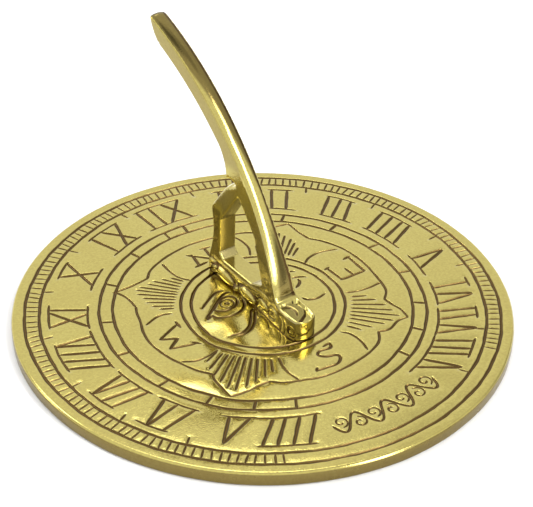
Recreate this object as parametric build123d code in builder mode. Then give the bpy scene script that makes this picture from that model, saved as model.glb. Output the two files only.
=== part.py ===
from build123d import *
from math import cos, radians, sin
import os

# Garden sundial: an engraved cast plate, a curved cast gnomon and the two screws that hold it.
# Millimetres. +Z up, +Y the dial's north (noon), +X east.
# Origin at the centre of the plate's underside, the face that the sundial rests on.

# ---------------------------------------------------------------- driving dimensions
PLATE_R = 101.6  # an 8 inch dial
PLATE_T = 5.8
RIM_TOP_FILLET = 1.4
RIM_BOTTOM_CHAMFER = 0.8

GROOVE_DEPTH = 0.5
RING_WIDTH = 0.9
STROKE_WIDTH = 0.9
SERIF_WIDTH = 1.2
TICK_WIDTH = 0.55

# engraved rings, as radii
FACE_RING_INNER = 29.2
FACE_RING_OUTER = 33.4
HOUR_RING_INNER = 60.9
HOUR_RING_OUTER = 66.4
TICK_RING_INNER = 90.4
TICK_RING_OUTER = 96.3
NUMERAL_TOP_R = 71.0  # the tops of the numerals face the centre
NUMERAL_BOTTOM_R = 86.0

# directions on the dial are degrees anticlockwise from east
HOUR_BARS = (-34.2, -14.2, 6.0, 25.8, 46.5, 66.5, 86.5, 94.9, 112.7,
             133.7, 156.6, 176.1, 197.9, 215.8, 231.5, 245.5, 294.3, 309.8)
TICK_START = -53.5  # the minute ticks leave the southern stretch plain
TICK_END = 238.5
TICK_COUNT = 147

# hours: numeral, direction of its middle, and how far its foot leans anticlockwise of its top
HOURS = (
    ("IIII", 243.0, -3.9), ("V", 226.5, -2.7), ("VI", 207.6, -4.0), ("VII", 190.5, -3.5),
    ("VIII", 170.2, -4.0), ("IX", 152.3, -0.6), ("X", 131.0, -0.6), ("XI", 108.4, -1.0),
    ("XII", 87.6, -0.3), ("I", 67.5, 0.5), ("II", 48.2, 0.8), ("III", 29.5, 1.6),
    ("IIII", 9.7, 2.5), ("V", -12.0, 3.0), ("VI", -29.2, 1.6), ("VII", -44.6, 3.0), ("VIII", -62.4, 3.4),
)
LETTER_PITCH = {"I": 3.5, "V": 6.0, "X": 7.0}  # degrees of the dial that each letter takes
LETTER_MARGIN = 1.1  # degrees left clear on each side of a letter
SERIF_OVERHANG = 0.6  # degrees that the serif runs past the numeral

# gnomon, in the noon plane: distances north of the centre, and heights over the plate's top
TOE_END = -29.5
TOE_H = 9.0
TOE_STEP = (-16.6, 10.6)  # where the toe's top meets the style
STYLE_FOOT = (-14.6, 12.4)
STYLE_MIDDLE = (14.1, 60.2)
STYLE_TIP = (74.2, 99.6)
TIP_CORNER = (71.6, 93.2)  # underside of the tip
TIP_REST = (68.6, 90.6)  # where the tip's chamfer meets the style's underside
STYLE_DEPTH = 7.2
UNDER_BEND = 130.5  # where the underside starts to bend down, in degrees about the style's arc centre
STYLE_BACK = ((25.9, 62.0), (22.6, 56.0))  # the underside's last bends, down to the heel
STYLE_HEEL = (21.7, 50.2)
NOTCH_TOP = (18.6, 51.1)
NOTCH_DEEPEST = (15.2, 50.0)
NOTCH_END = (17.1, 48.2)
UPRIGHT_SLOPE = ((20.8, 46.3), (24.2, 42.2))
UPRIGHT_KNEE = (30.7, 32.5)
UPRIGHT_BACK = ((30.2, 28.2), (29.7, 21.5), (30.9, 14.0), (32.9, 7.0))
UPRIGHT_FOOT = (33.2, 0.0)
OPENING = ((13.3, 45.6), (25.1, 28.4), (25.5, 12.4), (22.9, 9.9), (2.9, 9.8), (-4.6, 13.1), (1.2, 32.3))
OPENING_CORNER_R = 1.2

# gnomon thickness, as half widths east and west of the noon plane
BASE_HALF_W = 4.1
TOE_HALF_W = 5.6
TOE_WIDEST_Y = -23.0
NOSE_HALF_W = 5.2  # where the toe's sides turn into its round nose
NOSE_Y = -26.9
BASE_TAPER = ((5.1, -14.6), (4.4, -6.0))  # half width and place, between the toe and the parallel base
BASE_FROM_Y = 4.0  # north of here the base is parallel
SHOULDER_HALF_W = 6.0
STYLE_TAPER = ((4.6, 22.0), (3.5, 42.0))  # half width and height, between the shoulder and the style
STYLE_HALF_W = 3.4
STYLE_NARROWEST_H = 62.0
TIP_HALF_W = 3.8
GNOMON_H = 101.0
BEYOND_TIP = 76.0
TRIM = 1.0  # how far a body stands past the outline that trims it

# M4 x 12 countersunk screws, driven up through the plate
SCREW_Y = (-19.5, 27.5)
SCREW_R = 1.96
SCREW_LENGTH = 12.0
SCREW_TIP_CHAMFER = 0.5
SCREW_HEAD_R = 3.75
SCREW_SINK = 0.2  # how far the head lies inside the underside
SCREW_SLOT_W = 1.0
SCREW_SLOT_DEPTH = 1.0
CLEARANCE_R = 2.2
TAPPED_R = 2.0
TAPPED_DEPTH = 7.5


def dial_point(radius, angle):
    """A point on the dial from its radius and its direction in degrees."""
    return (radius * cos(radians(angle)), radius * sin(radians(angle)))


def stroke(start, end, width):
    """One straight engraved cut, a rectangle from start to end in the open sketch."""
    run = Vector(*end) - Vector(*start)
    middle = (Vector(*start) + Vector(*end)) * 0.5
    with Locations(Location((middle.X, middle.Y), run.get_angle(Vector(1, 0)) * (1 if run.Y >= 0 else -1))):
        Rectangle(run.length + width / 2, width)


def numeral(text, angle, lean):
    """A Roman numeral in the hour band, with a long serif on top and a short one at the foot."""
    span = sum(LETTER_PITCH[letter] for letter in text)
    left = angle - span / 2
    for letter in text:
        pitch = LETTER_PITCH[letter]
        middle = left + pitch / 2
        reach = pitch / 2 - LETTER_MARGIN
        top_left = dial_point(NUMERAL_TOP_R, middle - reach - lean / 2)
        top_right = dial_point(NUMERAL_TOP_R, middle + reach - lean / 2)
        top = dial_point(NUMERAL_TOP_R, middle - lean / 2)
        foot = dial_point(NUMERAL_BOTTOM_R, middle + lean / 2)
        if letter == "I":
            stroke(top, foot, STROKE_WIDTH)
        if letter == "V":
            stroke(top_left, foot, STROKE_WIDTH)
            stroke(top_right, foot, STROKE_WIDTH)
        if letter == "X":
            stroke(top_left, dial_point(NUMERAL_BOTTOM_R, middle + reach + lean / 2), STROKE_WIDTH)
            stroke(top_right, dial_point(NUMERAL_BOTTOM_R, middle - reach + lean / 2), STROKE_WIDTH)
        left += pitch
    serif_reach = span / 2 + SERIF_OVERHANG
    stroke(dial_point(NUMERAL_TOP_R, angle - serif_reach - lean / 2),
           dial_point(NUMERAL_TOP_R, angle + serif_reach - lean / 2), SERIF_WIDTH)


# ---------------------------------------------------------------- dial plate
with BuildPart() as dial_plate:
    with BuildSketch(Plane.XY):
        Circle(PLATE_R)
    extrude(amount=PLATE_T)
    rims = dial_plate.edges().filter_by(GeomType.CIRCLE).sort_by(Axis.Z)
    fillet(rims[-1], radius=RIM_TOP_FILLET)
    chamfer(dial_plate.edges().filter_by(GeomType.CIRCLE).sort_by(Axis.Z)[0], length=RIM_BOTTOM_CHAMFER)
    # engraved rings, the largest first, because each one clears what lies inside it
    with BuildSketch(Plane.XY.offset(PLATE_T - GROOVE_DEPTH)):
        for radius in (TICK_RING_OUTER, TICK_RING_INNER, HOUR_RING_OUTER,
                       HOUR_RING_INNER, FACE_RING_OUTER, FACE_RING_INNER):
            Circle(radius + RING_WIDTH / 2)
            Circle(radius - RING_WIDTH / 2, mode=Mode.SUBTRACT)
    extrude(amount=GROOVE_DEPTH, mode=Mode.SUBTRACT)
    # hour bars across the narrow ring, and minute ticks in the outer one
    with BuildSketch(Plane.XY.offset(PLATE_T - GROOVE_DEPTH)):
        for angle in HOUR_BARS:
            stroke(dial_point(HOUR_RING_INNER, angle), dial_point(HOUR_RING_OUTER, angle), STROKE_WIDTH)
        for index in range(TICK_COUNT):
            tick_angle = TICK_START + (TICK_END - TICK_START) * index / (TICK_COUNT - 1)
            stroke(dial_point(TICK_RING_INNER, tick_angle), dial_point(TICK_RING_OUTER, tick_angle), TICK_WIDTH)
    extrude(amount=GROOVE_DEPTH, mode=Mode.SUBTRACT)
    # numerals
    with BuildSketch(Plane.XY.offset(PLATE_T - GROOVE_DEPTH)):
        for text, angle, lean in HOURS:
            numeral(text, angle, lean)
    extrude(amount=GROOVE_DEPTH, mode=Mode.SUBTRACT)
    # countersunk screw holes, open on the underside
    for screw_y in SCREW_Y:
        with Locations(Location((0, screw_y, 0), (180, 0, 0))):
            CounterSinkHole(CLEARANCE_R, SCREW_HEAD_R + SCREW_SINK, counter_sink_angle=90)

# ---------------------------------------------------------------- gnomon
noon_plane = Plane(origin=(0, 0, PLATE_T), x_dir=(0, 1, 0), z_dir=(1, 0, 0))
plate_top = Plane.XY.offset(PLATE_T)
front_plane = Plane(origin=(0, TOE_END - TRIM, PLATE_T), x_dir=(1, 0, 0), z_dir=(0, -1, 0))

style_arc = ThreePointArc(STYLE_FOOT, STYLE_MIDDLE, STYLE_TIP)
under_radius = style_arc.radius - STYLE_DEPTH
under_bend = style_arc.arc_center + Vector(1, 0).rotate(Axis.Z, UNDER_BEND) * under_radius

with BuildPart() as gnomon:
    # side view, cut through the whole thickness
    with BuildSketch(noon_plane):
        with BuildLine():
            Polyline((TOE_END - TRIM, 0), (TOE_END - TRIM, TOE_H), TOE_STEP, STYLE_FOOT)
            ThreePointArc(STYLE_FOOT, STYLE_MIDDLE, STYLE_TIP)
            Polyline(STYLE_TIP, TIP_CORNER, TIP_REST)
            RadiusArc(TIP_REST, (under_bend.X, under_bend.Y), -under_radius)
            Spline((under_bend.X, under_bend.Y), *STYLE_BACK, STYLE_HEEL)
            Spline(STYLE_HEEL, NOTCH_TOP, NOTCH_DEEPEST, NOTCH_END)
            Spline(NOTCH_END, *UPRIGHT_SLOPE, UPRIGHT_KNEE)
            Polyline(UPRIGHT_KNEE, *UPRIGHT_BACK, UPRIGHT_FOOT)
            Line(UPRIGHT_FOOT, (TOE_END - TRIM, 0))
        make_face()
        with BuildSketch(mode=Mode.PRIVATE) as opening:
            with BuildLine():
                Polyline(*OPENING, close=True)
            make_face()
            fillet(opening.vertices(), radius=OPENING_CORNER_R)
        add(opening.sketch, mode=Mode.SUBTRACT)
    extrude(amount=SHOULDER_HALF_W + TRIM, both=True)
    # plan view: a parallel base that widens into a round-nosed toe
    with BuildSketch(plate_top):
        with BuildLine():
            ThreePointArc((-NOSE_HALF_W, NOSE_Y), (0, TOE_END), (NOSE_HALF_W, NOSE_Y))
            for side in (-1, 1):
                taper = [(side * half_width, north) for half_width, north in BASE_TAPER]
                Spline((side * NOSE_HALF_W, NOSE_Y), (side * TOE_HALF_W, TOE_WIDEST_Y), *taper,
                       (side * BASE_HALF_W, BASE_FROM_Y), tangents=[(side * 0.5, 1), (0, 1)])
            Polyline((-BASE_HALF_W, BASE_FROM_Y), (-BASE_HALF_W, BEYOND_TIP),
                     (BASE_HALF_W, BEYOND_TIP), (BASE_HALF_W, BASE_FROM_Y))
        make_face()
    extrude(amount=GNOMON_H + TRIM, dir=(0, 0, 1), mode=Mode.INTERSECT)
    # front view: the style is thinner than the base, and spreads again at its tip
    with BuildSketch(front_plane):
        with BuildLine():
            for side in (-1, 1):
                Line((side * SHOULDER_HALF_W, 0), (side * SHOULDER_HALF_W, TOE_STEP[1]))
                taper = [(side * half_width, height) for half_width, height in STYLE_TAPER]
                Spline((side * SHOULDER_HALF_W, TOE_STEP[1]), *taper,
                       (side * STYLE_HALF_W, STYLE_NARROWEST_H), (side * TIP_HALF_W, GNOMON_H))
            Line((-SHOULDER_HALF_W, 0), (SHOULDER_HALF_W, 0))
            Line((-TIP_HALF_W, GNOMON_H), (TIP_HALF_W, GNOMON_H))
        make_face()
    extrude(amount=BEYOND_TIP - TOE_END + TRIM, dir=(0, 1, 0), mode=Mode.INTERSECT)
    # tapped holes, up from the base
    for screw_y in SCREW_Y:
        with Locations(Location((0, screw_y, PLATE_T), (180, 0, 0))):
            Hole(TAPPED_R, depth=TAPPED_DEPTH)

# ---------------------------------------------------------------- gnomon screws
with BuildPart() as gnomon_screws:
    for screw_y in SCREW_Y:
        with BuildSketch(Plane(origin=(0, screw_y, SCREW_SINK), x_dir=(1, 0, 0), z_dir=(0, -1, 0))):
            with BuildLine():
                Polyline((0, 0), (SCREW_HEAD_R, 0), (SCREW_R, SCREW_HEAD_R - SCREW_R),
                         (SCREW_R, SCREW_LENGTH - SCREW_TIP_CHAMFER),
                         (SCREW_R - SCREW_TIP_CHAMFER, SCREW_LENGTH), (0, SCREW_LENGTH), close=True)
            make_face()
        revolve(axis=Axis((0, screw_y, 0), (0, 0, 1)))
        with BuildSketch(Plane.XY.offset(SCREW_SINK)):
            with Locations((0, screw_y)):
                Rectangle(2 * SCREW_HEAD_R + TRIM, SCREW_SLOT_W)
        extrude(amount=SCREW_SLOT_DEPTH, mode=Mode.SUBTRACT)

# ---------------------------------------------------------------- export
os.makedirs("parts", exist_ok=True)
for name, piece in (("dial_plate", dial_plate), ("gnomon", gnomon), ("gnomon_screws", gnomon_screws)):
    piece.part.label = name
    export_step(piece.part, f"parts/{name}.step")
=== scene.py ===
"""Looks for the garden sundial: an engraved brass dial plate and a cast brass gnomon.

Directions on the dial are degrees anticlockwise from east.
"""
import math

import bmesh
import bpy
import numpy as np
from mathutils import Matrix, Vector
from mathutils.geometry import delaunay_2d_cdt


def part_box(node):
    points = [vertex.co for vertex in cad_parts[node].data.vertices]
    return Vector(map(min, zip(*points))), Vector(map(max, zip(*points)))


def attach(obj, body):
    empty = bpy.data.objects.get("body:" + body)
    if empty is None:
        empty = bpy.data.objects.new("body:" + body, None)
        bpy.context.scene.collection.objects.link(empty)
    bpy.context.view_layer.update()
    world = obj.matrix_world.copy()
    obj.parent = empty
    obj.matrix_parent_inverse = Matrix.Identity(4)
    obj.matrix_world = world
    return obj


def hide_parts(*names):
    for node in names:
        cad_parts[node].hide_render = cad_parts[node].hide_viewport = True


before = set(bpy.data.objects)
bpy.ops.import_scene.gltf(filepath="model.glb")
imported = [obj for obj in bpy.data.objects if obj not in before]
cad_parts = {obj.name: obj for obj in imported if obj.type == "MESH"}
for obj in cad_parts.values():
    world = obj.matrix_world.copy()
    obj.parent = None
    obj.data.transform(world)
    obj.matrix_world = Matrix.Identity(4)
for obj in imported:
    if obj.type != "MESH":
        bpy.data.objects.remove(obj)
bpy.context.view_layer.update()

MM = 0.001

# the plate: its size, from the frame, and the shape of its rim
plate_low, plate_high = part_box("dial_plate")
gnomon_low, gnomon_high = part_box("gnomon")
PLATE_R = plate_high.x / MM
PLATE_TOP = plate_high.z / MM
FACE_R = PLATE_R - 1.5  # where the flat face ends and the rounded rim begins
RIM_STEPS = 420
RIM_R, RIM_PIECES = 1.4, 7  # its rounding above
SIDE = ((PLATE_R, 3.2), (PLATE_R - 0.03, 2.0))  # the side, which leans in a little
LOWER_R, LOWER_INSET, LOWER_PIECES = 0.86, 0.9, 5  # its rounding below
UNDER_INSET = 2.4  # the flat underside ends this far in
FILED, FILED_FADE = 0.1, 2.0  # how far in filing put the side, and where that dies out below
RIM_WAVES = ((0.05, 3, 0.4), (0.04, 11, 1), (0.025, 29, 0))  # filing marks: rise, number, phase
RIM_TARNISH, TARNISH_DROP = 0.27, 0.6  # the rim's tarnish begins this far below the face

# engraved rings
FACE_RINGS = (29.2, 33.4)
HOUR_RINGS = (60.9, 66.4)
TICK_RINGS = (90.4, 96.3)
NUMERAL_ENDS = (71.3, 86.3)  # the tops of the numerals face the centre
SERIF_RINGS = (NUMERAL_ENDS[0] - 0.2, NUMERAL_ENDS[1] + 0.3)

CUT_DEPTH, CUT_WIDTH = 0.5, 1.15
MERGE = 0.002  # points of a sheet nearer than this become one

# screw holes through the plate
SCREW_Y = (-19.5, 27.5)
CLEARANCE_R, SINK_R = 2.2, 3.95
HOLE_STEPS = 40
HOLE_LIP, HOLE_MARGIN = 0.2, 0.9  # no cut is in a hole's lip, and they fade over the margin
IN_HOLE = 0.995  # a triangle whose centre is within this share of a hole's radius lies in the hole


# ---- lines
def polar(radius, angle):
    """A point on the dial from its radius and its direction in degrees."""
    return (radius * math.cos(math.radians(angle)), radius * math.sin(math.radians(angle)))


GOLDEN_ANGLE = 2.399963  # in radians: it keeps the phases of one seed and the next apart


def waver(along, seed, scale):
    """A smooth unsteady value between about -1 and 1."""
    phase = seed * GOLDEN_ANGLE
    slow = np.sin(along / scale + phase)
    middling = 0.6 * np.sin(2.3 * along / scale + 1.7 * phase)
    quick = 0.4 * np.sin(4.9 * along / scale + 2.9 * phase)
    return (slow + middling + quick) / 2


def ramp(value, start, span):
    """Rises from 0 at the start to 1 a span beyond it. A negative span falls towards the start."""
    return np.clip((value - start) / span, 0, 1)


def smooth(points, pieces=12):
    """A Catmull-Rom curve through the points, closely sampled."""
    knots = np.array(points, float)
    if len(knots) < 3:
        return knots
    first, last = 2 * knots[0] - knots[1], 2 * knots[-1] - knots[-2]
    padded = np.vstack([first, knots, last])
    share = np.linspace(0, 1, pieces, endpoint=False)[:, None]
    curve = []
    for before, start, end, after in zip(padded, padded[1:], padded[2:], padded[3:]):
        curve.append(0.5 * (2 * start + (end - before) * share
                            + (2 * before - 5 * start + 4 * end - after) * share ** 2
                            + (3 * start - before - 3 * end + after) * share ** 3))
    return np.vstack(curve + [knots[-1:]])


def evenly(points, step):
    """The same line with evenly spaced stations, and each station's distance along it."""
    points = np.asarray(points, float)
    run = np.r_[0, np.cumsum(np.linalg.norm(np.diff(points, axis=0), axis=1))]
    count = max(2, int(round(run[-1] / step)) + 1)
    along = np.linspace(0, run[-1], count)
    return np.stack([np.interp(along, run, column) for column in points.T], 1), along


def sideways(points, closed=False):
    """The unit normal at each station of a line, to its left."""
    if closed:
        ahead, behind = np.roll(points[:-1], -1, 0), np.roll(points[:-1], 1, 0)
        along = np.vstack([ahead - behind, ahead[:1] - behind[:1]])
    else:
        along = np.gradient(points, axis=0)
    along /= np.maximum(np.linalg.norm(along, axis=1, keepdims=True), 1e-9)
    return np.stack([-along[:, 1], along[:, 0]], 1)


def arc(centre, radius, start, end, pieces):
    """Points along an arc, from start to end in degrees."""
    spokes = [polar(radius, angle) for angle in np.linspace(start, end, pieces + 1)]
    return [(centre[0] + x, centre[1] + y) for x, y in spokes]


def circle(radius, count, centre=(0.0, 0.0)):
    """Points evenly round a circle, anticlockwise from east."""
    turns = np.arange(count) * 2 * math.pi / count
    return np.stack([centre[0] + radius * np.cos(turns), centre[1] + radius * np.sin(turns)], 1)


# ---- cuts
class Cuts:
    """Grooves cut by hand in a flat face, each a line of stations with a half width at each."""

    ROWS = (-1.45, -1.0, -0.62, -0.22, 0.22, 0.62, 1.0, 1.45)  # rows of mesh points, in half widths
    NARROW_ROWS = (-1.45, -0.85, -0.3, 0.3, 0.85, 1.45)
    NARROW = 0.36  # lines whose half width stays under this take fewer rows
    CAP_FROM = 0.5  # rows outside this, in half widths, run round the ends too
    CAP_ANGLES = (-60, -30, 0, 30, 60)
    FLOOR, EDGE = 0.15, 1.45  # where a groove's floor and its side end, in half widths
    DRIFT_SCALE, WIDTH_SCALE, WIDTH_DRIFT = 4.5, 3.0, 0.16  # how the hand wanders
    THINNEST = 0.1  # the least half width
    RUN, REACH = 8, 6  # segments measured together, and how far round them, in half widths
    FAR = 9.0  # what counts as the distance of points out of reach, in half widths

    def __init__(self):
        self.lines = []

    def cut(self, points, width=CUT_WIDTH, step=1.0, wander=0.12, closed=False, taper=0.55):
        """Cuts one line through the points. The hand wanders, and the tool lifts at both ends."""
        seed = len(self.lines) + 1
        points, along = evenly(smooth(points), step)
        normals = sideways(points, closed)
        drift = wander * waver(along, seed, self.DRIFT_SCALE)
        half = width / 2 * (1 + self.WIDTH_DRIFT * waver(along, seed + 0.5, self.WIDTH_SCALE))
        if closed:
            drift[-1], half[-1] = drift[0], half[0]
        else:
            end_gap = np.minimum(along, along[-1] - along) / width
            half *= taper + (1 - taper) * np.clip(end_gap, 0, 1)
        points = points + normals * drift[:, None]
        self.lines.append((points, np.maximum(half, self.THINNEST), closed))

    def spoke(self, radii, angles, **how):
        """Cuts one straight line, between two radii and the angle at each."""
        self.cut([polar(*end) for end in zip(radii, angles)], **how)

    def ring(self, radius, start=0.0, sweep=360.0, step=1.4, **how):
        """Cuts a ring, or the arc of it from start over sweep degrees."""
        closed = sweep == 360.0
        count = max(3, int(radius * math.radians(sweep) / 3))
        angles = np.linspace(start, start + sweep, count + 1)
        self.cut([polar(radius, angle) for angle in angles], step=step, closed=closed, **how)

    def mesh_points(self):
        """The rows of points that follow every cut, and the edges along them."""
        points, edges, count = [], [], 0
        for line, half, closed in self.lines:
            normals = sideways(line, closed)
            rows = self.NARROW_ROWS if half.max() < self.NARROW else self.ROWS
            last = len(line) - 1 if closed else len(line)
            for row in rows:
                points.append((line + normals * (half * row)[:, None])[:last])
                edges += [(count + k, count + k + 1) for k in range(last - 1)]
                if closed:
                    edges.append((count + last - 1, count))
                count += last
            if not closed:
                for end, sign in ((0, -1), (-1, 1)):
                    ahead = np.array([normals[end][1], -normals[end][0]]) * sign
                    for reach in (row for row in rows if row > self.CAP_FROM):
                        for angle in self.CAP_ANGLES:
                            turn = math.radians(angle)
                            way = ahead * math.cos(turn) + normals[end] * math.sin(turn)
                            points.append((line[end] + way * half[end] * reach)[None])
                            count += 1
        return np.vstack(points), edges

    def measure(self, where):
        """How deep the cuts are at each point, from 0 to 1, and how far off in half widths."""
        deep, gap = np.zeros(len(where)), np.full(len(where), self.FAR)
        order = np.argsort(where[:, 0])
        across = where[order, 0]
        for line, half, _ in self.lines:
            for first in range(0, len(line) - 1, self.RUN):
                stretch = slice(first, first + self.RUN + 1)
                piece, widths = line[stretch], half[stretch]
                reach = self.REACH * widths.max()
                low, high = piece.min(0) - reach, piece.max(0) + reach
                near = order[np.searchsorted(across, low[0]):np.searchsorted(across, high[0])]
                near = near[(where[near, 1] > low[1]) & (where[near, 1] < high[1])]
                if not len(near):
                    continue
                run = piece[1:] - piece[:-1]
                offset = where[near][:, None] - piece[:-1]
                length2 = np.maximum((run ** 2).sum(1), 1e-9)
                share = np.clip((offset * run).sum(2) / length2, 0, 1)
                away = np.linalg.norm(offset - share[..., None] * run, axis=2)
                local = widths[:-1] + (widths[1:] - widths[:-1]) * share
                unit = away / local
                best = unit.argmin(1)
                pick = np.arange(len(near))
                nearest, width = unit[pick, best], local[pick, best]
                fall = ramp(nearest, self.FLOOR, self.EDGE - self.FLOOR)
                depth = 1 - fall * fall * (3 - 2 * fall)
                depth *= np.minimum(1, width / (CUT_WIDTH / 2)) ** 0.8  # a narrow cut is shallower
                deep[near] = np.maximum(deep[near], depth)
                gap[near] = np.minimum(gap[near], nearest)
        return deep, gap


def groove(where, run, **how):
    """How deep a single cut is at each point."""
    cuts = Cuts()
    cuts.cut(run, step=0.5, **how)
    return cuts.measure(where)[0]


# ---- the dial's drawing
# hour bars across the narrow ring
HOUR_BARS = (-34.2, -14.2, 6, 25.8, 46.5, 66.5, 86.5, 94.9, 112.7,
             133.7, 156.6, 176.1, 197.9, 215.8, 231.5, 245.5, 294.3, 309.8)

# hours: each stroke's directions at its top and foot, then the stretches of the two serif lines
HOURS = (
    (((-35.1, -30.5), (-29.8, -30.1), (-26.3, -24.9)), (-35.9, -22.8), (-26.9, -22.6)),  # VI
    (((-14.5, -8.6), (-8.4, -8.3)), (-18.9, -6.2), None),  # V
    (((2.3, 6.3), (6.6, 8.9), (10.6, 12.7), (14.7, 16.2)), (-0.9, 16.5), (5.4, 17)),  # IIII
    (((24.3, 26.9), (28.9, 30.1), (32.9, 33.9)), (21.4, 33.9), (25.6, 34.7)),  # III
    (((45.9, 46.8), (50.9, 51.5)), (42.4, 52), (45.3, 52.6)),  # II
    (((67.4, 67.6),), (64.6, 70.4), (65.6, 69.6)),  # I
    (((79.8, 86.2), (87.9, 80.4), (90.2, 90.2), (94.9, 94.3)), (78.1, 97.2), (80.4, 95.3)),  # XII
    (((103.5, 108.2), (108.8, 102.4), (113.6, 112.6)), (101.5, 116.3), (101.8, 113.8)),  # XI
    (((127.3, 132.7), (134.8, 126.1)), (124.7, 137.7), (125.2, 133.6)),  # X
    (((148.4, 148.1), (150.7, 155.7), (157.4, 149.3)), (146.4, 158.5), (145.8, 156.2)),  # IX
    (((162.6, 164.1), (167.2, 164.3), (171.3, 167.8), (175.3, 170.9), (179.1, 174.2)),
     (159.6, 180.6), (163.5, 175.3)),  # VIII
    (((184.8, 186), (188.8, 186.2), (193.3, 189.8), (196.7, 193.3)),
     (182.6, 198.3), (184.9, 194.2)),  # VII
    (((202.8, 204.3), (207.4, 204.8), (213.3, 208.9)), (200.8, 214.6), (201, 210.2)),  # VI
    (((223.9, 224.3), (230.1, 224.5)), (221.6, 232.6), None),  # V
    (((237, 233.8), (240.7, 237.5), (245, 241.3), (249.8, 245.4)),
     (232.6, 251.1), (232.6, 247.1)),  # IIII
    (((289.6, 296.3), (294.4, 296.6), (297.8, 302.3), (301.4, 304.8), (304.9, 308.2)),
     (286.4, 307.4), (300.9, 309.4)),  # VIII
    (((309, 314), (313.3, 314.3), (316.5, 320), (320.6, 323)), (307.4, 322.4), (318.5, 324)),  # VII
)

# half-hour marks, just inside the minute ring
HALF_HOURS = (-16.8, -2.1, 20.5, 41.4, 57.8, 75.5, 98, 120.3, 139.9, 160.1,
              180.8, 198.2, 216.2, 295.5, 314)
HALF_HOUR_ENDS = (TICK_RINGS[0] - 0.4, TICK_RINGS[0] - 4.2)

MINUTES_FROM, MINUTES_TO, MINUTES = -53.5, 238.5, 147
TICK_ENDS = (TICK_RINGS[0] + 0.2, TICK_RINGS[1] - 0.2)
TICK_SHIFT, TICK_LEAN = 0.3, 0.35  # how uneven the ticks are, in degrees


def cut_rings(cuts):
    """The rings of the dial. Each wanders a little, as a hand-guided cutter does."""
    for radius in FACE_RINGS + HOUR_RINGS + TICK_RINGS:
        cuts.ring(radius, wander=0.2)


def cut_marks(cuts):
    """The hour bars, then the minute ticks, a little uneven as set by eye, then the half hours."""
    for angle in HOUR_BARS:
        cuts.spoke(HOUR_RINGS, (angle, angle - 0.6), wander=0.06)
    for index in range(MINUTES):
        angle = MINUTES_FROM + (MINUTES_TO - MINUTES_FROM) * index / (MINUTES - 1)
        angle += TICK_SHIFT * waver(index, 3, 1.1)
        lean = TICK_LEAN * waver(index, 5, 2.3)
        cuts.spoke(TICK_ENDS, (angle - lean, angle + lean), width=0.8, step=1.7, wander=0.04)
    for angle in HALF_HOURS:
        cuts.spoke(HALF_HOUR_ENDS, (angle, angle - 0.3), width=0.85)


def cut_numerals(cuts):
    """Roman numerals, tops to the centre, with a serif line over each and one under most."""
    for strokes, *lines in HOURS:
        for top, foot in strokes:
            cuts.spoke(NUMERAL_ENDS, (top, foot), width=1.3, wander=0.1)
        for radius, line in zip(SERIF_RINGS, lines):
            if line:
                cuts.ring(radius, line[0], line[1] - line[0], step=1.1, width=0.9, wander=0.2)


# the compass flower, clockwise from its north-east tip. Each run ends where the next begins
FLOWER = (
    ((43.3, 41), (43.2, 32.6)),
    ((43.8, 26.8), (47.5, 21.5), (50.6, 13.6), (51.9, 5), (51.6, -3), (50.3, -9.6), (48.4, -17.6),
     (46.3, -22.4)),
    ((42.4, -26.1), (42.6, -31), (43.3, -35.6)),
    ((42.4, -40.8), (37.5, -40.6), (31.4, -42.8)),
    ((26.6, -41.6), (22.8, -46.3), (17, -49.2), (9.2, -51), (0.6, -51.8), (-8, -51.2),
     (-16.5, -48.3), (-23.6, -45.2)),
    ((-27.4, -41.6), (-31, -41.2), (-37.2, -41)),
    ((-43.9, -39.8), (-44.1, -34), (-43.7, -28.6)),
    ((-42.4, -25.7), (-46.2, -19.9), (-49.2, -12.2), (-51.1, -4.8), (-51.6, 4), (-50.2, 11.2),
     (-47.4, 18.2), (-45.6, 23.6)),
    ((-43.6, 27.6), (-43.2, 34), (-44.2, 38.8)),
    ((-45.8, 41.2), (-40, 40.9), (-34.2, 41)),
    ((-29.2, 41.6), (-25.4, 45.4), (-20, 48.3), (-12, 50.9), (-2, 52.2), (8, 51.4), (17.5, 48.8),
     (25, 45.4)),
    ((28.6, 41.8), (33.4, 42.6), (38.4, 42.3)),
)

# the sides of the four rounded petals that hold the letters
PETAL_SIDES = (
    ((31.2, 13), (35.2, 15.2), (41, 15.8), (48.6, 13.6)),
    ((32.2, -13.6), (37.4, -15.6), (43, -16.2), (48.8, -16)),
    ((14.2, -33), (16.6, -36.6), (16.9, -42.4), (15.6, -48)),
    ((-15.8, -32), (-17.6, -37.2), (-18.2, -42.4), (-17.6, -47.4)),
    ((-32, -14), (-36.8, -15.3), (-43.2, -15.2), (-48.2, -12.4)),
    ((-34.2, 15.8), (-39.4, 17.2), (-46.6, 15.2)),
    ((-15.2, 30.4), (-17.9, 34.6), (-18.8, 40.8), (-18.4, 46.8)),
    ((15.6, 30.8), (18.4, 36), (18.9, 42), (17.2, 48.4)),
)

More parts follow.
